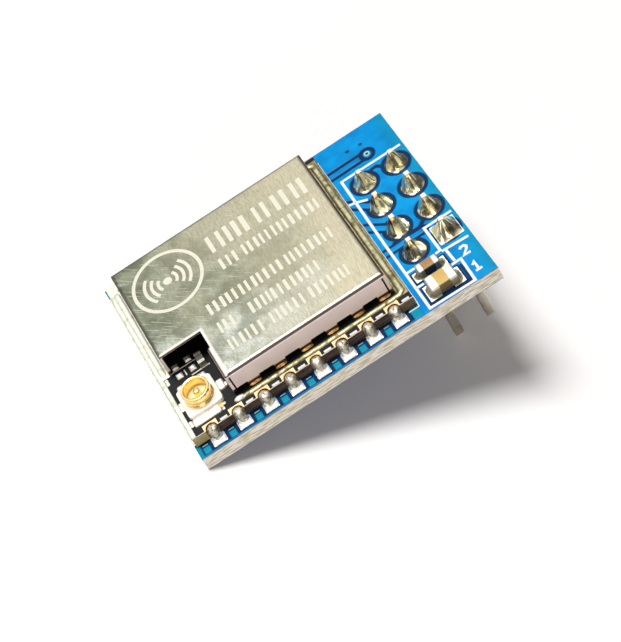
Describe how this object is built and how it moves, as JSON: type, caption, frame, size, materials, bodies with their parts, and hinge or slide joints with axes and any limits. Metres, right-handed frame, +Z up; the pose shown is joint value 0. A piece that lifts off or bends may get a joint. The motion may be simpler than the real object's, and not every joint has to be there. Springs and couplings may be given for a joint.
{
  "type": "lora module",
  "caption": "Small radio module with a folded shield can and antenna socket, soldered by castellated edges on an adapter board with a straight pin header",
  "frame": {"origin": "centre of the bounding box in X and Y, on the table surface that the module rests on", "axes": "X runs from the antenna end to the header end, Y from the near long edge to the far one, Z up; the board slopes up towards +X at about 24 degrees, resting on its low edge and the header pins"},
  "size_m": [0.024, 0.0176, 0.0112],
  "materials": {
    "blue_board": "glossy blue solder mask on glass epoxy with pale fibrous edges",
    "dark_board": "dark solder mask on glass epoxy with brown cut edges",
    "tinned_lands": "bright tin over copper",
    "gold_pads": "thin gold over nickel and copper",
    "solder": "bright flowed tin solder",
    "can_sheet": "fine brushed nickel-silver sheet",
    "socket_plastic": "white moulded liquid-crystal polymer",
    "socket_gold": "polished gold-plated brass",
    "header_plastic": "black moulded nylon",
    "pin_plating": "drawn square brass wire with a pale gold flash",
    "chip_ceramic": "tan fired ceramic",
    "chip_ends": "tin-plated end caps",
    "moulded_black": "black moulded epoxy",
    "tinned_leads": "matt tin-plated copper",
    "crystal_ceramic": "dark grey fired ceramic tray",
    "crystal_metal": "plain nickel-plated lid"
  },
  "bodies": {
    "root": {"carrier_board": "blue_board", "module_board": "dark_board", "header_lands": "tinned_lands", "module_lands": "tinned_lands", "capacitor_lands": "tinned_lands", "castellation_pads": "gold_pads", "solder_joints_near": "solder", "solder_joints_far": "solder", "can_ground_bead": "solder", "can_tab_joints": "solder", "socket_solder": "solder", "header_solder": "solder", "capacitor_solder": "solder", "bare_lands": "solder", "shield_can": "can_sheet", "socket_base": "socket_plastic", "socket_shell": "socket_gold", "socket_pin": "socket_gold", "socket_tabs": "socket_gold", "header_housing": "header_plastic", "header_pins": "pin_plating", "large_capacitor_body": "chip_ceramic", "small_capacitor_body": "chip_ceramic", "inner_capacitor_bodies": "chip_ceramic", "large_capacitor_ends": "chip_ends", "small_capacitor_ends": "chip_ends", "inner_capacitor_ends": "chip_ends", "transceiver_body": "moulded_black", "antenna_switch_body": "moulded_black", "transceiver_leads": "tinned_leads", "antenna_switch_leads": "tinned_leads", "crystal_base": "crystal_ceramic", "crystal_lid": "crystal_metal"}
  },
  "joints": []
}
